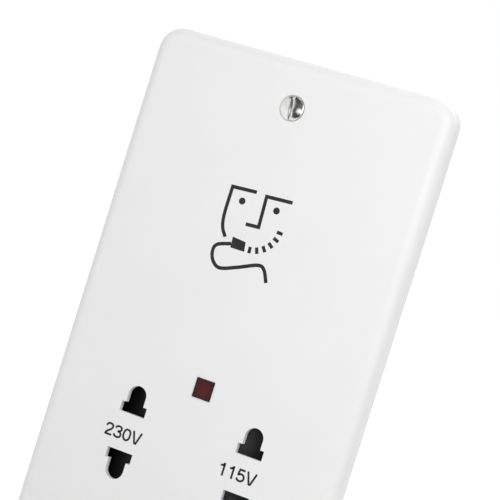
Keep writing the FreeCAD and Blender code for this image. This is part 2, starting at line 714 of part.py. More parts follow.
def housing_bosses():
    """Posts on the shelf that take the straps' screws, and ribs on the deep floor that carry the core."""
    posts = []
    for side in (-1, 1):
        z = z_core + side * strap_z
        for end in (-1, 1):
            posts.append(pin(boss_diameter, end * strap_screw_x, z, y_strap, y_low_inner + WELD))
            rest_x = end * (core_half - REST_LENGTH / 2)
            posts.append(bar(rest_x, z, REST_LENGTH / 2, REST_WIDTH / 2, y_core_back, y_rear_inner + WELD))
    return posts


def clamp_ribs():
    """Ribs on the side walls that press the contact cover against the carrier."""
    ribs = []
    for side in (-1, 1):
        xs = sorted((side * (carrier_half - CLAMP_RIB_OVERLAP), side * (inner_half + WELD)))
        for end in (-1, 1):
            z0 = OUTLET_Z + end * PIN_PITCH / 2 - CLAMP_RIB / 2
            ribs.append(box(xs[0], xs[1], y_cover_back, y_low_inner + WELD, z0, z0 + CLAMP_RIB))
    return ribs


def housing_ears():
    ears = []
    for x, z in ear_places:
        inner_z = z_bottom if z < z_core_bottom else z_top
        z0, z1 = sorted((inner_z, 2 * z - inner_z))
        ear = box(x - EAR_WIDTH / 2, x + EAR_WIDTH / 2, y_boss, y_boss + EAR_THICK, z0, z1)
        tips = [e for e in along(ear, V(0, 1, 0), EAR_THICK) if abs(e.BoundBox.ZMin - inner_z) > TINY]
        ears.append(ear.makeFillet(EAR_CORNER, tips))
    return ears


def rear_housing():
    shell = housing_shell().fuse(housing_bosses() + clamp_ribs() + housing_ears() + block_posts())
    cuts = [screw_hole(end * strap_screw_x, z_core + side * strap_z, y_strap - STRAP_THICK, 1)
            for side in (-1, 1) for end in (-1, 1)]
    cuts += [pin(screw_bore, x, z, y_boss - CUT_PAST, y_boss + EAR_THICK + CUT_PAST) for x, z in ear_places]
    cuts += [terminal_tail_slot(x) for x in terminal_xs]
    cuts += [screw_hole(x, block_z, y_cell, -1) for x in block_screw_xs]
    return shell.cut(cuts).removeSplitter()


# Mains terminals

def block_posts():
    """Bosses inside the lower wall for the terminal block's screws."""
    depth = SCREW_LENGTH + SCREW_END_GAP - BLOCK_BASE + BOSS_END
    return [pin(boss_diameter, x, block_z, y_low - depth, y_low_inner + WELD) for x in block_screw_xs]


def terminal_tail_slot(x):
    return bar(x, block_z, TERMINAL_TAIL_WIDTH / 2 + TERMINAL_GAP, TERMINAL_TAIL / 2 + TERMINAL_GAP,
               y_low_inner - CUT_PAST, y_cell + CUT_PAST)


def terminal_block():
    """A block with a cell for each terminal; the wires come in from below through open slots."""
    block = rounded_bar(0, block_z, block_half, block_tall, y_low, y_block, BLOCK_CORNER)
    end = y_block + CUT_PAST
    wire_half = TERMINAL_BORE / 2 + TERMINAL_GAP
    y_wire = y_cell + TERMINAL_BORE_BACK - wire_half
    cuts = []
    for x in terminal_xs:
        cuts.append(bar(x, block_z, cell_half, cell_half, y_cell, end))
        cuts.append(terminal_tail_slot(x))
        cuts.append(box(x - wire_half, x + wire_half, y_wire, end, block_z - block_tall - CUT_PAST, block_z))
    for x in block_screw_xs:
        cuts.append(pin(screw_bore, x, block_z, y_low - CUT_PAST, end))
        cuts.append(pin(SCREW_HEAD + 2 * SCREW_HEAD_GAP, x, block_z, y_cell, end))
    return block.cut(cuts)


def terminal(x):
    """A brass terminal with a wire bore from below, a tapped hole from behind and a flat tail."""
    block = bar(x, block_z, TERMINAL_SIDE / 2, TERMINAL_SIDE / 2, y_cell, y_cell + TERMINAL_DEPTH)
    y_bore, y_end = y_cell + TERMINAL_BORE_BACK, y_low_inner - TERMINAL_TAIL_REACH
    strip = bar(x, block_z, TERMINAL_TAIL_WIDTH / 2, TERMINAL_TAIL / 2, y_end, y_cell)
    bore = Part.makeCylinder(TERMINAL_BORE / 2, TERMINAL_SIDE + 2 * CUT_PAST,
                             V(x, y_bore, block_z - TERMINAL_SIDE / 2 - CUT_PAST), V(0, 0, 1))
    tapped = pin(TERMINAL_SCREW + 2 * SCREW_GAP, x, block_z, y_bore, y_cell + TERMINAL_DEPTH + CUT_PAST)
    return block.fuse(strip).cut([bore, tapped])


def terminal_screw(x):
    y_seat = y_cell + TERMINAL_DEPTH
    tip = y_cell + TERMINAL_BORE_BACK + TERMINAL_BORE / 2
    top = y_seat + TERMINAL_SCREW_HEAD_TALL
    head = pin(TERMINAL_SCREW_HEAD, x, block_z, y_seat, top)
    shank = pin(TERMINAL_SCREW, x, block_z, tip, y_seat)
    slot = bar(x, block_z, TERMINAL_SCREW_HEAD, TERMINAL_SCREW_SLOT / 2, top - TERMINAL_SCREW_SLOT_DEPTH,
               top + CUT_PAST)
    return head.fuse(shank).cut(slot)


# Stamped strips

def riser(x0, x1, y_start, z_start, y_end, z_end):
    """A strip that climbs behind the contacts, runs forward over the lamp and climbs again."""
    path = [(y_start, z_start), (y_start, z_run), (y_end, z_run), (y_end, z_end)]
    corners = [V(x0, y, z) for y, z in ribbon(path[::-1], BUS_STRIP)]
    return drawn(corners, V(x1 - x0, 0, 0))


def outlet_strip(side):
    """From an outlet's upper contact to the secondary winding."""
    x0, x1 = sorted((side * outlet_bus, side * (OUTLET_X + TAIL_WIDTH / 2)))
    z_start = OUTLET_Z + PIN_PITCH / 2 + CONTACT_STRIP / 2
    return riser(x0, x1, y_cover_back, z_start, y_flange + BUS_INSET, z_flange)


def common_strip():
    """Joins the two lower contacts and climbs to the secondary winding."""
    y0, y1 = y_cover_back, y_cover_back + BUS_STRIP
    link = box(-OUTLET_X, OUTLET_X, y0, y1, finger_z - BUS_WIDTH / 2, finger_z + BUS_WIDTH / 2)
    x0, x1 = side_bus - BUS_WIDTH / 2, side_bus + BUS_WIDTH / 2
    climb = riser(x0, x1, y0, finger_z, y_flange + BUS_INSET, z_flange)
    z_pad = OUTLET_Z - PIN_PITCH / 2
    pads = [bar(x, z_pad, TAIL_WIDTH / 2 + BUS_STRIP, BUS_PAD, y0, y1) for x in (-OUTLET_X, OUTLET_X)]
    slots = [tail_slot(x, z_pad) for x in (-OUTLET_X, OUTLET_X)]
    return link.fuse([climb] + pads).cut(slots).removeSplitter()


def terminal_leg(side, x_end, z_top):
    """A flat strip from a terminal's tail, up beside the contact's tail and then inwards."""
    tab = OUTLET_X - TAIL_WIDTH / 2 - BUS_GAP
    xs = sorted((side * tab, side * (tab - BUS_WIDTH)))
    ends = sorted((side * tab, x_end))
    y1 = y_tail + BUS_STRIP
    post = box(xs[0], xs[1], y_tail, y1, block_z + TERMINAL_TAIL / 2, z_leg + BUS_WIDTH)
    return post.fuse(box(ends[0], ends[1], y_tail, y1, z_leg, z_top))


def line_strip():
    """From the line terminal to the cut-out on the winding."""
    x = -side_bus
    y_end = y_cutout + (CUTOUT_THICK - BUS_STRIP) / 2
    climb = riser(x - BUS_WIDTH / 2, x + BUS_WIDTH / 2, y_tail, z_leg, y_end, z_core - CUTOUT_TALL / 2)
    return climb.fuse(terminal_leg(-1, x + BUS_WIDTH / 2, z_leg + BUS_WIDTH)).removeSplitter()


def neutral_strip():
    """From the neutral terminal to the switch."""
    half = TAIL_WIDTH / 2
    post = box(-half, half, y_tail, y_tail + BUS_STRIP, z_leg, pole_z[0] + CONTACT_STRIP / 2)
    return terminal_leg(1, -half, z_leg + BUS_WIDTH).fuse(post).removeSplitter()


def load_strip():
    """From the switch to the primary winding."""
    x0, x1 = load_bus - BUS_WIDTH / 2, load_bus + BUS_WIDTH / 2
    z0 = pole_z[1] - CONTACT_STRIP
    foot = box(x0, TAIL_WIDTH / 2, y_tail, y_tail + BUS_STRIP, z0, z_leg - BUS_GAP)
    return foot.fuse(riser(x0, x1, y_tail, z0, y_flange + BUS_INSET, z_flange)).removeSplitter()


# Every piece under its own name; a list is a set of like fasteners
pieces = {
    "front_plate": front_plate(),
    "fixing_screws": [fixing_screw(side * FIXING_CENTRES / 2) for side in (1, -1)],
    "indicator_lens": indicator_lens(),
    "neon_lamp": neon_lamp(),
    "neon_resistor": neon_resistor(),
    "shutter_slide": shutter_slide(),
    "bridge_contact": bridge_contact(),
    "centring_spring": centring_spring(),
    "contact_carrier": contact_carrier(),
    "contact_cover": contact_cover(),
    "contact_230_upper": contact(-OUTLET_X, 1),
    "contact_230_lower": contact(-OUTLET_X, -1),
    "contact_115_upper": contact(OUTLET_X, 1),
    "contact_115_lower": contact(OUTLET_X, -1),
    "switch_pole_line": switch_pole(pole_z[0]),
    "switch_pole_load": switch_pole(pole_z[1]),
    "core_e_stack": core_e_stack(),
    "core_i_stack": core_i_stack(),
    "bobbin": bobbin(),
    "primary_winding": winding(-1),
    "secondary_winding": winding(1),
    "thermal_cutout": thermal_cutout(),
    "core_strap_upper": core_strap(1),
    "core_strap_lower": core_strap(-1),
    "strap_screws": [tapping_screw(end * strap_screw_x, z_core + side * strap_z, y_strap - STRAP_THICK, 1)
                     for side in (1, -1) for end in (-1, 1)],
    "outlet_strip_230": outlet_strip(-1),
    "outlet_strip_115": outlet_strip(1),
    "common_strip": common_strip(),
    "line_strip": line_strip(),
    "neutral_strip": neutral_strip(),
    "load_strip": load_strip(),
    "rear_housing": rear_housing(),
    "housing_screws": [tapping_screw(x, z, y_boss + EAR_THICK, -1) for x, z in ear_places],
    "terminal_block": terminal_block(),
    "terminal_line": terminal(terminal_xs[0]),
    "terminal_earth": terminal(terminal_xs[1]),
    "terminal_neutral": terminal(terminal_xs[2]),
    "terminal_screws": [terminal_screw(x) for x in terminal_xs],
    "block_screws": [tapping_screw(x, block_z, y_cell, -1) for x in block_screw_xs],
}

os.makedirs("parts", exist_ok=True)
for name, shape in pieces.items():
    solid = Part.makeCompound(shape) if isinstance(shape, list) else shape
    solid.exportStep("parts/" + name + ".step")
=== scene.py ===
import json
from math import asin, copysign, cos, pi, radians, sin, tan

import bmesh
import bpy
from mathutils import Matrix, Vector


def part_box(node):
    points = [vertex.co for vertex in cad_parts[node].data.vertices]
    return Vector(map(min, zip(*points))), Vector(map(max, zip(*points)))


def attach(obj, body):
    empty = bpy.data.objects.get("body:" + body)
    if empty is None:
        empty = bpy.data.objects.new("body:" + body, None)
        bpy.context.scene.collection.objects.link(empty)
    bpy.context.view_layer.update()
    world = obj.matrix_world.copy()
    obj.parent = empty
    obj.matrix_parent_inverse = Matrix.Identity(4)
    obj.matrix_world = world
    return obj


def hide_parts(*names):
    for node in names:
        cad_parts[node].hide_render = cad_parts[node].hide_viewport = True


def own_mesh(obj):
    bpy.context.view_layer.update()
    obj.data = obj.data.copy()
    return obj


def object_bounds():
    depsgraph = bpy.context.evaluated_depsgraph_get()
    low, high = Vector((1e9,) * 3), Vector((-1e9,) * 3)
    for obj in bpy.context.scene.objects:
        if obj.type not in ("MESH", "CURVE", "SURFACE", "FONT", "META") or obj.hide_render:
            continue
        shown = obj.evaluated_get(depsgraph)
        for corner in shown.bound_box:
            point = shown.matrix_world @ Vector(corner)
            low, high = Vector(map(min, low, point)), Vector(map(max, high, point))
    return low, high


# Dual-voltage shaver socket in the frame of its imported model: X to the right, Z up, metres.
# The face looks along -Y and the wall plane is Y = 0.

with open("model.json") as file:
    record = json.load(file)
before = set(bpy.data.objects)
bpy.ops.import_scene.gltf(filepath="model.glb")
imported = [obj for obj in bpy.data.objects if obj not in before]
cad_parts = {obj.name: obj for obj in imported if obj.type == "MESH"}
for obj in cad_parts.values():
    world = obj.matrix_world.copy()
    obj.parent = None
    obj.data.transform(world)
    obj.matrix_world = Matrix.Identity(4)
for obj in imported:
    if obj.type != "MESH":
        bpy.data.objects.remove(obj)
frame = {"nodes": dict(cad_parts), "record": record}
cad_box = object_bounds()
MM = 0.001

# Camera, as the photograph was taken: its lens and sensor in millimetres, the rest in metres
CAMERA_PLACE = (0.2054, -0.4996, 0.0335)
CAMERA_VIEW = (-0.3835, 0.9233, -0.0213)
CAMERA_UP = (-0.2847, -0.0963, 0.9538)
CAMERA_LENS = 148.6
CAMERA_SENSOR = 36.0
CAMERA_NEAR = 0.01

# Plain light from all round, and lamps: place, side of the square and watts
AMBIENT = 0.79
LAMPS = (
    ("key", (0.17, -0.20, 0.14), 0.25, 0.385),
    ("rear", (0.10, 0.70, 0.60), 0.6, 3.0),
)

# Floor: half its width, its tone and its own light where it is seen, and its tone for bounced light
FLOOR_REACH = 6.0
FLOOR_SHADE = 0.3
FLOOR_GLOW = 0.9
FLOOR_BOUNCE = 0.75

# Cards for reflections in the metal, round the upper screw and round the terminals: bearings from
# straight ahead to the right and rises, in degrees, then distance and tone
SCREW_CARDS = (
    ("card_upper", (-12, 48), (6, 60), 0.2, 0.02),
    ("card_lower", (-12, 48), (-55, -12), 0.2, 0.02),
    ("card_middle", (-12, 8), (-12, 6), 0.2, 0.02),
    ("card_above", (-80, -12), (38, 70), 0.2, 0.02),
)
TERMINAL_CARDS = (
    ("card_rear_left", (186, 240), (-38, -10), 0.05, 0.3),
    ("card_rear_right", (120, 174), (-38, -10), 0.05, 0.3),
    ("card_rear_above", (150, 210), (20, 60), 0.2, 0.1),
)

# Flags that take light off the plate's right side and its upper right corner, given like the cards
RIGHT_FLAG = ("flag_right", (62, 104), (-26, 26), 0.3, 0.02)
CORNER_FLAG = ("flag_corner", (66, 116), (28, 70), 0.3, 0.02)

# How matt the cards and flags are
CARD_ROUGHNESS = 0.9

# The plate's outer corners, in millimetres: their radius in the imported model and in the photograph
CORNER_PACKED = 4.0
CORNER_SHOWN = 6.5

# Printed marks, in millimetres: how far the ink stands off the plate and how deep it lies in it
INK_PROUD = 0.02
INK_DEEP = 0.03

# Letters on the housing above the terminals, in millimetres: height, width of stroke, gap above the
# terminal block, and how far they stand off the housing and reach into it
TERMINAL_LETTERS = (("L", "terminal_line"), ("E", "terminal_earth"), ("N", "terminal_neutral"))
LETTER_TALL = 3.2
LETTER_LINE = 0.6
LETTER_GAP = 1.6
LETTER_PROUD = 0.35
LETTER_DEEP = 0.2

# Voltage figures, in millimetres: text and the middle of its line, height, stretch along the line, width
# of stroke, and the steps from one point of a curve to the next
FIGURES = (("230V", -18.0, -34.0), ("115V", 16.0, -33.6))
FIGURE_TALL = 3.4
FIGURE_STRETCH = 1.04
FIGURE_LINE = 0.55
FIGURE_STEPS = 5

# Letters and figures on a field one unit tall: how far each takes up the line, its straight strokes and
# its curved ones
LETTERS = {
    "0": (0.76, (),
          (((0.34, 0.93), (0.13, 0.80), (0.07, 0.50), (0.13, 0.20), (0.34, 0.07), (0.55, 0.20),
            (0.61, 0.50), (0.55, 0.80), (0.34, 0.93)),)),
    "1": (0.76, (((0.42, 0.0), (0.42, 1.0)),), (((0.12, 0.76), (0.30, 0.80), (0.39, 0.93)),)),
    "2": (0.76, (((0.05, 0.075), (0.64, 0.075)),),
          (((0.09, 0.68), (0.15, 0.86), (0.35, 0.925), (0.55, 0.86), (0.60, 0.69), (0.50, 0.50),
            (0.27, 0.32), (0.11, 0.13)),)),
    "3": (0.76, (),
          (((0.08, 0.73), (0.15, 0.87), (0.34, 0.925), (0.54, 0.86), (0.58, 0.71), (0.49, 0.57),
            (0.30, 0.53)),
           ((0.30, 0.53), (0.54, 0.46), (0.61, 0.28), (0.54, 0.13), (0.34, 0.07), (0.13, 0.13),
            (0.06, 0.28)))),
    "5": (0.76, (((0.59, 0.925), (0.17, 0.925), (0.11, 0.48)),),
          (((0.11, 0.50), (0.32, 0.61), (0.54, 0.53), (0.61, 0.33), (0.53, 0.14), (0.33, 0.07),
            (0.13, 0.13), (0.06, 0.27)),)),
    "V": (0.84, (((0.05, 1.0), (0.343, 0.08), (0.457, 0.08), (0.75, 1.0)),), ()),
    "L": (0.62, (((0.10, 1.0), (0.10, 0.07), (0.58, 0.07)),), ()),
    "N": (0.80,
          (((0.10, 0.0), (0.10, 1.0)), ((0.10, 0.93), (0.62, 0.07)), ((0.62, 0.0), (0.62, 1.0))), ()),
    "E": (0.68,
          (((0.60, 0.93), (0.10, 0.93), (0.10, 0.07), (0.62, 0.07)), ((0.10, 0.51), (0.55, 0.51))), ()),
}

# Shaver sign, in millimetres: line width, brows, cheek and nose, dots, ticks round the chin with their
# angles in degrees, shaver and its lead
SIGN_LINE = 0.95
LEFT_BROW = (-2.3, 36.9)
CHEEK = ((-9.3, 36.5), (-9.25, 29.2), (-8.6, 25.7), (-7.1, 23.4))
BROW_AND_NOSE = ((8.1, 37.0), (0.7, 36.6), (1.1, 28.4), (-2.6, 28.2))
SIGN_DOTS = ((-5.5, 33.6), (4.5, 33.8))
SIGN_DOT = 0.92
DOT_SIDES = 24
CHIN_CENTRE = (0.1, 29.2)
CHIN_RADIUS = 7.15
CHIN_TICKS = 6
CHIN_START, CHIN_STEP = -5.0, -16.2
TICK_LONG, TICK_WIDE = 1.7, 0.9
SHAVER = ((-5.0, 24.1), (-1.1, 23.7), (-0.7, 21.2), (-4.8, 21.2))
LEAD = ((-4.9, 22.2), (-8.6, 20.9), (-9.3, 18.9), (-8.3, 16.5), (-5.9, 15.3), (-1.1, 16.9),
        (4.1, 19.0), (6.1, 18.3), (7.7, 15.3))
CURVE_STEPS = 8

# Fixing screws, in millimetres: raised slotted head, neck and thread
FIXING_PLACES = ((0.0, 60.3), (0.0, -60.3))
HEAD_RADIUS = 3.25
HEAD_DOME = 0.88
HEAD_CONE = 2.0
DOME_STEPS = 8
NECK_RADIUS = 1.45
THREAD_RADIUS = 1.75
THREAD_CORE = 1.4
THREAD_PITCH = 0.6
THREAD_REACH = 24.0
THREAD_TIP = 24.6
THREAD_POINT = 0.3
SLOT_WIDE = 1.0
SLOT_DEEP = 1.1
SLOT_TURN = radians(6.0)

# Pan-head tapping screws with a cross recess, in millimetres
HOUSING_SCREWS = ((-24.0, 42.2), (24.0, 42.2), (-24.0, -57.45), (24.0, -57.45))
BLOCK_SCREWS = ((-8.0, -45.9), (8.0, -45.9))
PAN_RADIUS = 2.8
PAN_TALL = 1.8
PAN_ROUND = 0.8
PAN_STEPS = 6
TAPPING_RADIUS = 1.45
TAPPING_CORE = 1.15
TAPPING_PITCH = 1.1
TAPPING_LENGTH = 6.0
TAPPING_ROOT = 0.3
TAPPING_POINT = 1.0
RECESS_ARM = 1.45
RECESS_WIDE = 0.75
RECESS_DEEP = 1.25
RECESS_FOOT = 0.45

# Threads: steps in a turn, half widths of the ridge's foot and crest in pitches, how deep its foot lies
# in the core in heights of the ridge, and how much of its height it gains in a turn
THREAD_STEPS = 24
RIDGE_FOOT = 0.42
RIDGE_CREST = 0.08
RIDGE_ROOT = 0.1
RIDGE_GAIN = 1.5

# Centring spring: turns, wire in millimetres, steps in a turn and sides of the wire
SPRING_TURNS = 5
SPRING_WIRE = 0.6
SPRING_STEPS = 24
SPRING_SIDES = 10

# How far the lens's painted light, a brighter middle, reaches, in half widths of the lens
LENS_PAINTED_GLOW = 1.5

# How finely turned bodies are divided, how far edges sharper than an angle are eased and in how many
# steps, and the angles from which edges are shaded as sharp
TURNED_SIDES = 48
EDGE_EASE = 0.06
EASE_STEPS = 2
EASE_ANGLE = radians(35)
SCREW_SHARP = radians(40)
COIL_SHARP = radians(60)

# Points nearer than this, in millimetres, count as touching
TOUCH = 0.001

# Where a pattern that runs from 0 to 1 has reached the dark and the light tone of a material
TINT_SPAN = (0.3, 0.7)


# Materials

def shader(name, colour, roughness, metallic=0.0):
    """A material with its main shader; returns the material, its node tree and the shader."""
    material = bpy.data.materials.new(name)
    material.use_nodes = True
    tree = material.node_tree
    bsdf = tree.nodes["Principled BSDF"]
    bsdf.inputs["Base Color"].default_value = (*colour, 1)
    bsdf.inputs["Roughness"].default_value = roughness
    bsdf.inputs["Metallic"].default_value = metallic
    return material, tree, bsdf


def place(tree, scale=(1, 1, 1), centre=(0, 0, 0)):
    """The object's own coordinates from a centre, stretched."""
    coordinates = tree.nodes.new("ShaderNodeTexCoord")
    mapping = tree.nodes.new("ShaderNodeMapping")
    mapping.inputs["Scale"].default_value = scale
    mapping.inputs["Location"].default_value = [-s * c for s, c in zip(scale, centre)]
    tree.links.new(coordinates.outputs["Object"], mapping.inputs["Vector"])
    return mapping.outputs["Vector"]


def noise(tree, size, scale=(1, 1, 1), detail=3.0):
    """Noise whose features are about size millimetres across."""
    node = tree.nodes.new("ShaderNodeTexNoise")
    node.inputs["Scale"].default_value = 1 / (size * MM)
    node.inputs["Detail"].default_value = detail
    tree.links.new(place(tree, scale), node.inputs["Vector"])
    return node.outputs["Fac"]


def bands(tree, pitch, direction, shape="BANDS", wobble=0.0):
    """Even lines at a pitch in millimetres."""
    node = tree.nodes.new("ShaderNodeTexWave")
    node.wave_type = shape
    if shape == "BANDS":
        node.bands_direction = direction
    else:
        node.rings_direction = direction
    wave_per_unit = 10 / pi
    node.inputs["Scale"].default_value = 1 / (pitch * MM) / wave_per_unit
    node.inputs["Distortion"].default_value = wobble
    tree.links.new(place(tree), node.inputs["Vector"])
    return node.outputs["Fac"]


def glow_spot(tree, centre, reach):
    """1 at a centre in the XZ plane, falling to 0 at a reach from it."""
    node = tree.nodes.new("ShaderNodeTexGradient")
    node.gradient_type = "SPHERICAL"
    tree.links.new(place(tree, (1 / reach, 0, 1 / reach), centre), node.inputs["Vector"])
    return node.outputs["Fac"]


def spread(tree, value, low, high):
    """Maps a value between 0 and 1 to a range."""
    node = tree.nodes.new("ShaderNodeMapRange")
    node.inputs["To Min"].default_value = low
    node.inputs["To Max"].default_value = high
    tree.links.new(value, node.inputs["Value"])
    return node.outputs["Result"]


def rough(tree, bsdf, value, low, high):
    """Roughness that wanders in a range."""
    tree.links.new(spread(tree, value, low, high), bsdf.inputs["Roughness"])


def tint(tree, bsdf, value, dark, light):
    """Colour that wanders between two tones."""
    ramp = tree.nodes.new("ShaderNodeValToRGB")
    for stop, position, tone in zip(ramp.color_ramp.elements, TINT_SPAN, (dark, light)):
        stop.position = position
        stop.color = (*tone, 1)
    tree.links.new(value, ramp.inputs["Fac"])
    tree.links.new(ramp.outputs["Color"], bsdf.inputs["Base Color"])


def bump(tree, bsdf, value, depth):
    """Relief of a depth in millimetres; a second call lies on the first."""
    node = tree.nodes.new("ShaderNodeBump")
    node.inputs["Distance"].default_value = depth * MM
    tree.links.new(value, node.inputs["Height"])
    before = bsdf.inputs["Normal"].links
    if before:
        tree.links.new(before[0].from_socket, node.inputs["Normal"])
    tree.links.new(node.outputs["Normal"], bsdf.inputs["Normal"])


def white_plastic():
    material, tree, bsdf = shader("white_plastic", (0.83, 0.83, 0.83), 0.36)
    bsdf.inputs["Specular IOR Level"].default_value = 0.35
    tint(tree, bsdf, noise(tree, 18.0), (0.822, 0.823, 0.824), (0.838, 0.838, 0.836))
    rough(tree, bsdf, noise(tree, 2.5), 0.33, 0.41)
    bump(tree, bsdf, noise(tree, 0.9), 0.0015)
    return material


def black_plastic(name="black_plastic"):
    material, tree, bsdf = shader(name, (0.014, 0.014, 0.015), 0.5)
    bsdf.inputs["Specular IOR Level"].default_value = 0.35
    tint(tree, bsdf, noise(tree, 6.0), (0.012, 0.012, 0.013), (0.020, 0.020, 0.021))
    rough(tree, bsdf, noise(tree, 0.8), 0.42, 0.58)
    bump(tree, bsdf, noise(tree, 0.3), 0.012)
    return material


def red_lens():
    """Clear red plastic with painted light and shade: a brighter middle, darker towards its rim."""
    material, tree, bsdf = shader("red_lens", (0.07, 0.005, 0.006), 0.22)
    bsdf.inputs["Specular IOR Level"].default_value = 0.25
    low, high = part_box("indicator_lens")
    # painted light and shade: lighter in the lens's middle, darker towards its rim
    tint(tree, bsdf, glow_spot(tree, (low + high) / 2, LENS_PAINTED_GLOW * high.x), (0.033, 0.002, 0.0036),
         (0.074, 0.004, 0.0036))
    rough(tree, bsdf, noise(tree, 1.2), 0.18, 0.28)
    bump(tree, bsdf, bands(tree, 0.65, "X"), 0.02)
    return material


def nylon():
    material, tree, bsdf = shader("natural_nylon", (0.74, 0.72, 0.65), 0.42)
    tint(tree, bsdf, noise(tree, 5.0), (0.71, 0.69, 0.62), (0.76, 0.74, 0.67))
    rough(tree, bsdf, noise(tree, 1.0), 0.36, 0.5)
    bump(tree, bsdf, noise(tree, 0.5), 0.005)
    return material


def bright_screw():
    """Plated steel with a faint grain."""
    material, tree, bsdf = shader("nickel_plate", (0.72, 0.715, 0.70), 0.2, 1.0)
    tint(tree, bsdf, noise(tree, 1.5), (0.66, 0.655, 0.64), (0.77, 0.765, 0.75))
    rough(tree, bsdf, noise(tree, 0.6), 0.14, 0.27)
    bump(tree, bsdf, bands(tree, 0.16, "Y", "RINGS", 0.4), 0.0015)
    return material


def brushed_metal(name, dark, light, low, high):
    """Sheet or bar metal with fine drawing lines."""
    material, tree, bsdf = shader(name, light, low, 1.0)
    tint(tree, bsdf, noise(tree, 3.0), dark, light)
    lines = noise(tree, 0.25, (1, 1, 0.06))
    rough(tree, bsdf, lines, low, high)
    bump(tree, bsdf, lines, 0.003)
    return material


def wound_copper():
    material, tree, bsdf = shader("enamelled_copper", (0.55, 0.22, 0.09), 0.3, 0.9)
    # painted shade: the tint darkens the grooves between the turns, whose relief the bump gives
    turns = bands(tree, 0.4, "Z", wobble=0.6)
    tint(tree, bsdf, turns, (0.28, 0.09, 0.035), (0.62, 0.26, 0.11))
    rough(tree, bsdf, noise(tree, 0.7), 0.22, 0.4)
    bump(tree, bsdf, turns, 0.12)
    return material


def laminations():
    material, tree, bsdf = shader("core_laminations", (0.17, 0.18, 0.2), 0.5, 0.8)
    sheets = bands(tree, 0.5, "Y", wobble=0.3)
    tint(tree, bsdf, sheets, (0.06, 0.062, 0.068), (0.21, 0.22, 0.24))
    rough(tree, bsdf, noise(tree, 0.8), 0.4, 0.65)
    bump(tree, bsdf, sheets, 0.06)
    return material


def zinc_strip():
    material, tree, bsdf = shader("zinc_strip", (0.6, 0.61, 0.61), 0.4, 0.9)
    tint(tree, bsdf, noise(tree, 1.6, detail=1.0), (0.5, 0.51, 0.52), (0.66, 0.67, 0.67))
    rough(tree, bsdf, noise(tree, 1.2), 0.32, 0.5)
    bump(tree, bsdf, noise(tree, 0.6), 0.006)
    return material


def lamp_glass():
    material, tree, bsdf = shader("lamp_glass", (0.95, 0.9, 0.86), 0.05)
    bsdf.inputs["Transmission Weight"].default_value = 1.0
    rough(tree, bsdf, noise(tree, 1.5), 0.03, 0.1)
    bump(tree, bsdf, noise(tree, 2.0), 0.02)
    return material


def resistor_coat():
    material, tree, bsdf = shader("resistor_coat", (0.7, 0.55, 0.38), 0.35)
    tint(tree, bsdf, bands(tree, 1.9, "X"), (0.32, 0.12, 0.07), (0.72, 0.57, 0.40))
    rough(tree, bsdf, noise(tree, 0.5), 0.28, 0.45)
    bump(tree, bsdf, noise(tree, 0.7), 0.01)
    return material


def print_ink():
    material, tree, bsdf = shader("print_ink", (0.025, 0.025, 0.027), 0.45)
    bsdf.inputs["Specular IOR Level"].default_value = 0.2
    tint(tree, bsdf, noise(tree, 0.8), (0.018, 0.018, 0.019), (0.032, 0.032, 0.034))
    rough(tree, bsdf, noise(tree, 0.4), 0.38, 0.55)
    bump(tree, bsdf, noise(tree, 0.2), 0.004)
    return material


brass = ((0.62, 0.43, 0.16), (0.76, 0.55, 0.24))
finishes = {
    "plate_white": white_plastic(),
    "black_moulding": black_plastic(),
    "lens_red": red_lens(),
    "natural_moulding": nylon(),
    "winding_copper": wound_copper(),
    "contact_brass": brushed_metal("stamped_brass", *brass, 0.22, 0.38),
    "terminal_brass": brushed_metal("machined_brass", *brass, 0.28, 0.45),
    "screw_steel": bright_screw(),
    "spring_steel": brushed_metal("spring_wire", (0.45, 0.45, 0.45), (0.6, 0.6, 0.59), 0.25, 0.4),
    "core_lamination": laminations(),
    "strap_zinc": zinc_strip(),
    "lamp_glass": lamp_glass(),
    "resistor_body": resistor_coat(),
    "cutout_body": black_plastic("cutout_case"),
}
ink = print_ink()

slot_of = {entry["node"]: entry["material_slot"] for entry in frame["record"]["subparts"]}
for node, shape in frame["nodes"].items():
    for holder in shape.material_slots:
        holder.material = finishes[slot_of[node]]


# Pieces

def piece(name, mesh, material):
    """Puts a mesh into the scene as a piece that rides on the socket."""
    shape = bpy.data.objects.new(name, mesh)
    bpy.context.scene.collection.objects.link(shape)
    shape.data.materials.clear()
    shape.data.materials.append(material)
    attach(shape, "socket")
    return shape


plate_low, plate_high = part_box("front_plate")
block_low, block_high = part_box("terminal_block")
face_y = plate_low.y
face_mm = face_y / MM
shelf_y = block_low.y


def on_face(x, z, lift):
    """A point of the face from millimetres, lifted off it."""
    return Vector((x * MM, face_y - lift * MM, z * MM))


def rounder_plate():
    """The face plate with wider outer corners. All arcs of a corner share one middle, which moves inwards
    as they widen."""
    mesh = frame["nodes"]["front_plate"].data.copy()
    middle = Vector((plate_high.x, plate_high.z)) - Vector((1, 1)) * CORNER_PACKED * MM
    gain = (CORNER_SHOWN - CORNER_PACKED) * MM
    for vertex in mesh.vertices:
        x, y, z = vertex.co
        out = Vector((abs(x), abs(z))) - middle
        if min(out) > -TOUCH * MM:
            spot = middle - Vector((gain, gain)) + out * (1 + gain / out.length)
            vertex.co = copysign(spot.x, x), y, copysign(spot.y, z)
    shape = piece("face_plate", mesh, finishes["plate_white"])
    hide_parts("front_plate")


rounder_plate()


# Printed marks

def offset_line(points, half):
    """The two edges of a line of even width, with mitred corners."""
    left, right = [], []
    for i, point in enumerate(points):
        before = (point - points[i - 1]).normalized() if i else None
        after = (points[i + 1] - point).normalized() if i + 1 < len(points) else None
        ways = [way for way in (before, after) if way is not None]
        normals = [Vector((-way.y, way.x)) for way in ways]
        middle = sum(normals, Vector((0, 0))).normalized()
        reach = half / middle.dot(normals[0])
        left.append(point + middle * reach)
        right.append(point - middle * reach)
    return left, right


def ink_layer(point):
    """The top and the foot of a printed layer at a point (x, z), in millimetres."""
    return on_face(*point, INK_PROUD), on_face(*point, -INK_DEEP)


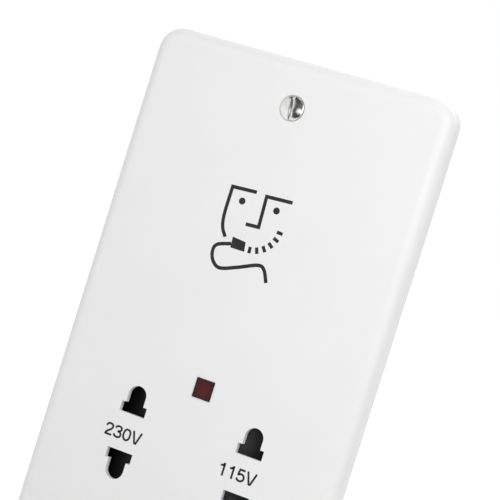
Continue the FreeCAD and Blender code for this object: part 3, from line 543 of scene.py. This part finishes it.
def letter_layer(point):
    """The top and the foot of a moulded letter, which is read from behind."""
    x, z = -point[0] * MM, point[1] * MM
    return Vector((x, shelf_y + LETTER_PROUD * MM, z)), Vector((x, shelf_y - LETTER_DEEP * MM, z))


def add_slab(mesh, outline, layer=ink_layer):
    """A flat patch from an outline of (x, z) points, in millimetres."""
    corners = [[mesh.verts.new(spot) for spot in layer(p)] for p in outline]
    mesh.faces.new([top for top, foot in corners])
    mesh.faces.new([foot for top, foot in reversed(corners)])
    for (top, foot), (next_top, next_foot) in zip(corners, corners[1:] + corners[:1]):
        mesh.faces.new((next_top, top, foot, next_foot))


def add_tube(mesh, rows):
    """Joins rows of corners into a tube that is closed at both ends."""
    for row, following in zip(rows, rows[1:]):
        for k in range(len(row)):
            mesh.faces.new((row[k], row[k - 1], following[k - 1], following[k]))
    mesh.faces.new(rows[0])
    mesh.faces.new(rows[-1][::-1])


def add_line(mesh, points, width, layer=ink_layer):
    """A closed strip of even width along points (x, z), in millimetres."""
    left, right = offset_line([Vector(p) for p in points], width / 2)
    sections = [layer(a) + layer(b)[::-1] for a, b in zip(left, right)]
    add_tube(mesh, [[mesh.verts.new(spot) for spot in section] for section in sections])


def smooth_line(points, steps):
    """A soft curve through the points."""
    p = [Vector(q) for q in points]
    p = [2 * p[0] - p[1]] + p + [2 * p[-1] - p[-2]]
    line = []
    for a, b, c, d in zip(p, p[1:], p[2:], p[3:]):
        for k in range(steps):
            t = k / steps
            line.append(0.5 * (2 * b + (c - a) * t + (2 * a - 5 * b + 4 * c - d) * t * t
                               + (3 * b - a - 3 * c + d) * t ** 3))
    return line + [p[-2]]


def round_patch(centre, radius):
    """The outline of a dot."""
    turns = [2 * pi * k / DOT_SIDES for k in range(DOT_SIDES)]
    return [(centre[0] + radius * cos(a), centre[1] + radius * sin(a)) for a in turns]


def chin_tick(number):
    """The four corners of one stubble tick on the chin's arc."""
    angle = radians(CHIN_START + CHIN_STEP * number)
    out = Vector((cos(angle), sin(angle)))
    across = Vector((-out.y, out.x)) * TICK_WIDE / 2
    inner = Vector(CHIN_CENTRE) + out * (CHIN_RADIUS - TICK_LONG / 2)
    outer = inner + out * TICK_LONG
    return inner - across, outer - across, outer + across, inner + across


def finish_mesh(work, name):
    """Turns all faces outwards and makes a mesh."""
    bmesh.ops.recalc_face_normals(work, faces=work.faces)
    mesh = bpy.data.meshes.new(name)
    work.to_mesh(mesh)
    work.free()
    return mesh


def shaver_sign():
    """The common sign of a face and a shaver, as a thin layer of ink on the face plate."""
    work = bmesh.new()
    lead, cheek = (smooth_line(points, CURVE_STEPS) for points in (LEAD, CHEEK))
    for line in (lead, [LEFT_BROW] + cheek, BROW_AND_NOSE):
        add_line(work, line, SIGN_LINE)
    for dot in SIGN_DOTS:
        add_slab(work, round_patch(dot, SIGN_DOT))
    for number in range(CHIN_TICKS):
        add_slab(work, chin_tick(number))
    add_slab(work, SHAVER)
    piece("shaver_sign", finish_mesh(work, "shaver_sign"), ink)


def strokes(words, tall):
    """Lines of (x, z) points, in millimetres, that write words about the middle of their line."""
    lines, reach = [], 0.0
    for letter in words:
        advance, straight, curved = LETTERS[letter]
        for line in straight + tuple(smooth_line(points, FIGURE_STEPS) for points in curved):
            lines.append([(reach + p[0], p[1] - 0.5) for p in line])
        reach += advance
    wide = tall * FIGURE_STRETCH
    return [[((px - reach / 2) * wide, pz * tall) for px, pz in line] for line in lines]


def voltage_figures(words, x, z):
    """One line of printed figures, as a thin layer of ink on the face plate."""
    work = bmesh.new()
    for line in strokes(words, FIGURE_TALL):
        add_line(work, [(x + px, z + pz) for px, pz in line], FIGURE_LINE)
    piece("figures_" + words, finish_mesh(work, "figures_" + words), ink)


def terminal_letters():
    """L, E and N as raised strokes with a white face, above their terminals."""
    work = bmesh.new()
    z = block_high.z / MM + LETTER_GAP + LETTER_TALL / 2
    for letter, node in TERMINAL_LETTERS:
        low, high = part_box(node)
        x = -(low.x + high.x) / 2 / MM
        for line in strokes(letter, LETTER_TALL):
            add_line(work, [(x + px, z + pz) for px, pz in line], LETTER_LINE, letter_layer)
    mesh = finish_mesh(work, "terminal_letters")
    piece("terminal_letters", mesh, finishes["plate_white"])


shaver_sign()
for words, x, z in FIGURES:
    voltage_figures(words, x, z)
terminal_letters()


# Screws, made in millimetres with the head's top towards -Y and the face that it seats on at y = 0

def arc(radius, start, end, centre, steps):
    """Points (r, y) of an arc; an angle of 0 points to -Y and a quarter turn outwards."""
    angles = [start + (end - start) * k / steps for k in range(steps + 1)]
    return [(centre[0] + radius * sin(a), centre[1] - radius * cos(a)) for a in angles]


def turned(profile):
    """A closed body turned about Y from (radius, y) points, of which the first and last have radius 0."""
    work = bmesh.new()
    turns = [2 * pi * k / TURNED_SIDES for k in range(TURNED_SIDES)]
    rings = [[work.verts.new((r * sin(a), y, r * cos(a))) for a in turns] for r, y in profile[1:-1]]
    for a, b in zip(rings, rings[1:]):
        for k in range(TURNED_SIDES):
            work.faces.new((a[k - 1], b[k - 1], b[k], a[k]))
    for end, beside, ring in ((profile[0], profile[1], rings[0]), (profile[-1], profile[-2], rings[-1])):
        if abs(end[1] - beside[1]) < TOUCH:
            work.faces.new(ring)
        else:
            tip = work.verts.new((0, end[1], 0))
            for k in range(TURNED_SIDES):
                work.faces.new((tip, ring[k - 1], ring[k]))
    return finish_mesh(work, "turned")


def carved(mesh, cutter):
    """Cuts one closed mesh out of another and eases the sharp edges."""
    holder = bpy.data.objects.new("carving", mesh)
    tool = bpy.data.objects.new("cutter", cutter)
    for shape in (holder, tool):
        bpy.context.scene.collection.objects.link(shape)
    cut = holder.modifiers.new("cut", "BOOLEAN")
    cut.object = tool
    cut.solver = "EXACT"
    ease = holder.modifiers.new("ease", "BEVEL")
    ease.width = EDGE_EASE
    ease.segments = EASE_STEPS
    ease.angle_limit = EASE_ANGLE
    graph = bpy.context.evaluated_depsgraph_get()
    result = bpy.data.meshes.new_from_object(holder.evaluated_get(graph))
    for shape in (holder, tool):
        bpy.data.meshes.remove(shape.data)
    return result


def prism(top, bottom, y_top, y_bottom):
    """A closed body between two outlines of (x, z) points with as many corners."""
    work = bmesh.new()
    upper = [work.verts.new((x, y_top, z)) for x, z in top]
    lower = [work.verts.new((x, y_bottom, z)) for x, z in bottom]
    work.faces.new(upper)
    work.faces.new(lower[::-1])
    for i in range(len(top)):
        j = (i + 1) % len(top)
        work.faces.new((upper[j], upper[i], lower[i], lower[j]))
    return finish_mesh(work, "prism")


def add_thread(work, core, crest, pitch, y0, y1):
    """A right-handed ridge that winds from y0 to y1 and fades at both ends."""
    count = int((y1 - y0) / pitch * THREAD_STEPS)
    foot = core - RIDGE_ROOT * (crest - core)
    rows = []
    for i in range(count + 1):
        turn, y = 2 * pi * i / THREAD_STEPS, y0 + pitch * i / THREAD_STEPS
        fade = min(1.0, RIDGE_GAIN * i / THREAD_STEPS, RIDGE_GAIN * (count - i) / THREAD_STEPS)
        top = core + (crest - core) * fade
        section = ((foot, -RIDGE_FOOT), (top, -RIDGE_CREST), (top, RIDGE_CREST), (foot, RIDGE_FOOT))
        rows.append([work.verts.new((r * sin(turn), y + dy * pitch, r * cos(turn))) for r, dy in section])
    add_tube(work, rows)


def set_of_screws(name, node, head, stem, thread, places, seat, inwards):
    """Like screws at (x, z) places, seated at a y and driven along +Y or -Y, that stand for a node."""
    one = bmesh.new()
    one.from_mesh(head)
    one.from_mesh(stem)
    add_thread(one, *thread)
    screw = bpy.data.meshes.new("screw")
    one.to_mesh(screw)
    one.free()
    work = bmesh.new()
    facing = Matrix.Identity(4) if inwards > 0 else Matrix.Rotation(pi, 4, "X")
    for x, z in places:
        copy = screw.copy()
        copy.transform(Matrix.Scale(MM, 4) @ Matrix.Translation((x, seat, z)) @ facing)
        work.from_mesh(copy)
        bpy.data.meshes.remove(copy)
    for mesh in (head, stem, screw):
        bpy.data.meshes.remove(mesh)
    mesh = finish_mesh(work, name)
    mesh.shade_smooth()
    mesh.set_sharp_from_angle(angle=SCREW_SHARP)
    shape = piece(name, mesh, finishes["screw_steel"])
    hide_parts(node)


def fixing_head():
    """A raised countersunk head with its slot."""
    sphere = (HEAD_RADIUS ** 2 + HEAD_DOME ** 2) / (2 * HEAD_DOME)
    dome = arc(sphere, 0, asin(HEAD_RADIUS / sphere), (0, sphere - HEAD_DOME), DOME_STEPS)
    neck_end = HEAD_CONE + 2 * NECK_RADIUS
    head = turned(dome + [(NECK_RADIUS, HEAD_CONE), (NECK_RADIUS, neck_end), (0, neck_end)])
    half, reach = SLOT_WIDE / 2, HEAD_RADIUS + HEAD_DOME
    turn = Matrix.Rotation(SLOT_TURN, 2)
    outline = [turn @ Vector(p) for p in ((-half, -reach), (half, -reach), (half, reach), (-half, reach))]
    return carved(head, prism(outline, outline, -2 * HEAD_DOME, SLOT_DEEP - HEAD_DOME))


def cross(arm, wide):
    """The outline of a cross with four like arms."""
    half = wide / 2
    quarter = [(half, half), (half, arm), (-half, arm)]
    corners = []
    for k in range(4):
        turn = Matrix.Rotation(k * pi / 2, 2)
        corners += [turn @ Vector(p) for p in quarter]
    return corners


def pan_head():
    """A pan head with a tapered cross recess."""
    rounded = arc(PAN_ROUND, 0, pi / 2, (PAN_RADIUS - PAN_ROUND, PAN_ROUND - PAN_TALL), PAN_STEPS)
    head = turned([(0, -PAN_TALL)] + rounded + [(PAN_RADIUS, 0), (0, 0)])
    return carved(head, prism(cross(RECESS_ARM, RECESS_WIDE), cross(RECESS_FOOT, RECESS_FOOT),
                              -PAN_TALL - EDGE_EASE, RECESS_DEEP - PAN_TALL))


def fixing_screws():
    """The two screws that hold the plate, with a machine thread."""
    stem = turned([(0, HEAD_CONE), (THREAD_CORE, HEAD_CONE), (THREAD_CORE, THREAD_REACH - face_mm),
                   (THREAD_CORE - THREAD_POINT, THREAD_TIP - face_mm), (0, THREAD_TIP - face_mm)])
    thread = (THREAD_CORE, THREAD_RADIUS, THREAD_PITCH, -face_mm, THREAD_REACH - face_mm)
    set_of_screws("fixing_screw_set", "fixing_screws", fixing_head(), stem, thread, FIXING_PLACES,
                  face_mm, 1)


def tapping_screws(name, node, places, seat, inwards):
    """Pan-head screws with a pointed stem and a coarse thread."""
    stem = turned([(0, -TAPPING_ROOT), (TAPPING_CORE, -TAPPING_ROOT),
                   (TAPPING_CORE, TAPPING_LENGTH - TAPPING_POINT), (0, TAPPING_LENGTH)])
    thread = (TAPPING_CORE, TAPPING_RADIUS, TAPPING_PITCH, TAPPING_PITCH / 2,
              TAPPING_LENGTH - TAPPING_PITCH)
    set_of_screws(name, node, pan_head(), stem, thread, places, seat, inwards)


def centring_spring():
    """The slide's coil of round wire, along X."""
    low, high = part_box("centring_spring")
    wire = SPRING_WIRE / 2 * MM
    radius = (high.z - low.z) / 2 - wire
    length = high.x - low.x - 2 * wire
    count = SPRING_TURNS * SPRING_STEPS
    rise = length / (2 * pi * SPRING_TURNS)
    sides = [2 * pi * k / SPRING_SIDES for k in range(SPRING_SIDES)]
    work = bmesh.new()
    rows = []
    for i in range(count + 1):
        turn = 2 * pi * i / SPRING_STEPS
        out = Vector((0, cos(turn), sin(turn)))
        way = Vector((rise, -radius * sin(turn), radius * cos(turn))).normalized()
        across = way.cross(out)
        centre = (low + high) / 2 + Vector(((i / count - 0.5) * length, 0, 0)) + radius * out
        rows.append([work.verts.new(centre + wire * (cos(a) * out + sin(a) * across)) for a in sides])
    add_tube(work, rows)
    mesh = finish_mesh(work, "centring_coil")
    mesh.shade_smooth()
    mesh.set_sharp_from_angle(angle=COIL_SHARP)
    shape = piece("centring_coil", mesh, finishes["spring_steel"])
    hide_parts("centring_spring")
    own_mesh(shape)


centring_spring()
fixing_screws()
for name, node, places in (("housing_screw_set", "housing_screws", HOUSING_SCREWS),
                           ("block_screw_set", "block_screws", BLOCK_SCREWS)):
    low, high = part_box(node)
    tapping_screws(name, node, places, high.y / MM - PAN_TALL, -1)


# Stage, light and camera

def grey(tone):
    return (tone, tone, tone, 1)


def seen_rays(tree):
    """1 for rays from the camera, and for reflected and refracted ones."""
    path = tree.nodes.new("ShaderNodeLightPath")
    first = tree.nodes.new("ShaderNodeMath")
    first.operation = "MAXIMUM"
    second = tree.nodes.new("ShaderNodeMath")
    second.operation = "MAXIMUM"
    tree.links.new(path.outputs["Is Camera Ray"], first.inputs[0])
    tree.links.new(path.outputs["Is Glossy Ray"], first.inputs[1])
    tree.links.new(first.outputs[0], second.inputs[0])
    tree.links.new(path.outputs["Is Transmission Ray"], second.inputs[1])
    return second.outputs[0]


def stage_floor():
    """A pale floor that keeps the object's shadow and meets the white background."""
    mesh = bpy.data.meshes.new("floor")
    reach, level = FLOOR_REACH, cad_box[0][2]
    mesh.from_pydata([(-reach, -reach, level), (reach, -reach, level), (reach, reach, level),
                      (-reach, reach, level)], [], [(0, 1, 2, 3)])
    floor = bpy.data.objects.new("floor", mesh)
    bpy.context.scene.collection.objects.link(floor)
    material = bpy.data.materials.new("floor")
    material.use_nodes = True
    tree = material.node_tree
    tree.nodes.clear()
    out = tree.nodes.new("ShaderNodeOutputMaterial")
    soft = tree.nodes.new("ShaderNodeBsdfDiffuse")
    soft.inputs["Color"].default_value = grey(FLOOR_SHADE)
    glow = tree.nodes.new("ShaderNodeEmission")
    glow.inputs["Strength"].default_value = FLOOR_GLOW
    seen = tree.nodes.new("ShaderNodeAddShader")
    tree.links.new(soft.outputs[0], seen.inputs[0])
    tree.links.new(glow.outputs[0], seen.inputs[1])
    bounce = tree.nodes.new("ShaderNodeBsdfDiffuse")
    bounce.inputs["Color"].default_value = grey(FLOOR_BOUNCE)
    choose = tree.nodes.new("ShaderNodeMixShader")
    tree.links.new(seen_rays(tree), choose.inputs[0])
    tree.links.new(bounce.outputs[0], choose.inputs[1])
    tree.links.new(seen.outputs[0], choose.inputs[2])
    tree.links.new(choose.outputs[0], out.inputs["Surface"])
    mesh.materials.append(material)


def white_world(ambient):
    """White behind the object, with a plain level of light on it."""
    world = bpy.data.worlds.new("studio")
    bpy.context.scene.world = world
    world.use_nodes = True
    tree = world.node_tree
    background = tree.nodes["Background"]
    background.inputs["Color"].default_value = (1, 1, 1, 1)
    level = tree.nodes.new("ShaderNodeMapRange")
    level.inputs["To Min"].default_value = ambient
    level.inputs["To Max"].default_value = 1.0
    tree.links.new(seen_rays(tree), level.inputs["Value"])
    tree.links.new(level.outputs["Result"], background.inputs["Strength"])


def lamp(name, stand, side, watts):
    """A square lamp that looks at the middle of the plate."""
    light = bpy.data.lights.new(name, "AREA")
    light.shape = "SQUARE"
    light.size = side
    light.energy = watts
    holder = bpy.data.objects.new(name, light)
    bpy.context.scene.collection.objects.link(holder)
    holder.location = stand
    holder.rotation_euler = (-Vector(stand)).to_track_quat("-Z", "Y").to_euler()
    holder.visible_camera = False


def grey_card(target, name, bearings, rises, distance, tone, shades=False):
    """A card that only shiny surfaces see, or that also shades. From its target it spans bearings from
    -Y towards +X and rises, in degrees."""
    a, b = radians(sum(bearings) / 2), radians(sum(rises) / 2)
    way = Vector((sin(a) * cos(b), -cos(a) * cos(b), sin(b)))
    half_wide = distance * tan(radians(bearings[1] - bearings[0]) / 2) * cos(b)
    half_tall = distance * tan(radians(rises[1] - rises[0]) / 2)
    mesh = bpy.data.meshes.new(name)
    mesh.from_pydata([(-half_wide, -half_tall, 0), (half_wide, -half_tall, 0),
                      (half_wide, half_tall, 0), (-half_wide, half_tall, 0)], [], [(0, 1, 2, 3)])
    card = bpy.data.objects.new(name, mesh)
    bpy.context.scene.collection.objects.link(card)
    card.location = Vector(target) + way * distance
    card.rotation_euler = (-way).to_track_quat("-Z", "Y").to_euler()
    mesh.materials.append(shader(name, (tone, tone, tone), CARD_ROUGHNESS)[0])
    card.visible_camera = False
    card.visible_transmission = False
    card.visible_diffuse = shades
    card.visible_shadow = shades


def photo_camera():
    """The camera at the photograph's place and angle."""
    camera = bpy.data.cameras.new("photo_camera")
    camera.sensor_width = CAMERA_SENSOR
    camera.lens = CAMERA_LENS
    camera.clip_start = CAMERA_NEAR
    holder = bpy.data.objects.new("photo_camera", camera)
    bpy.context.scene.collection.objects.link(holder)
    back = -Vector(CAMERA_VIEW).normalized()
    right = Vector(CAMERA_UP).cross(back).normalized()
    up = back.cross(right)
    turn = Matrix((right, up, back)).transposed().to_4x4()
    holder.matrix_world = Matrix.Translation(CAMERA_PLACE) @ turn
    bpy.context.scene.camera = holder


stage_floor()
white_world(AMBIENT)
for cards, target in ((SCREW_CARDS, (0, face_y, FIXING_PLACES[0][1] * MM)),
                      (TERMINAL_CARDS, (0, block_high.y, block_high.z))):
    for card in cards:
        grey_card(target, *card)
grey_card((plate_high.x, face_y, 0), *RIGHT_FLAG, shades=True)
grey_card((plate_high.x, face_y, plate_high.z), *CORNER_FLAG, shades=True)
for name, stand, side, watts in LAMPS:
    lamp(name, stand, side, watts)
photo_camera()
bpy.context.scene.view_settings.view_transform = "Standard"
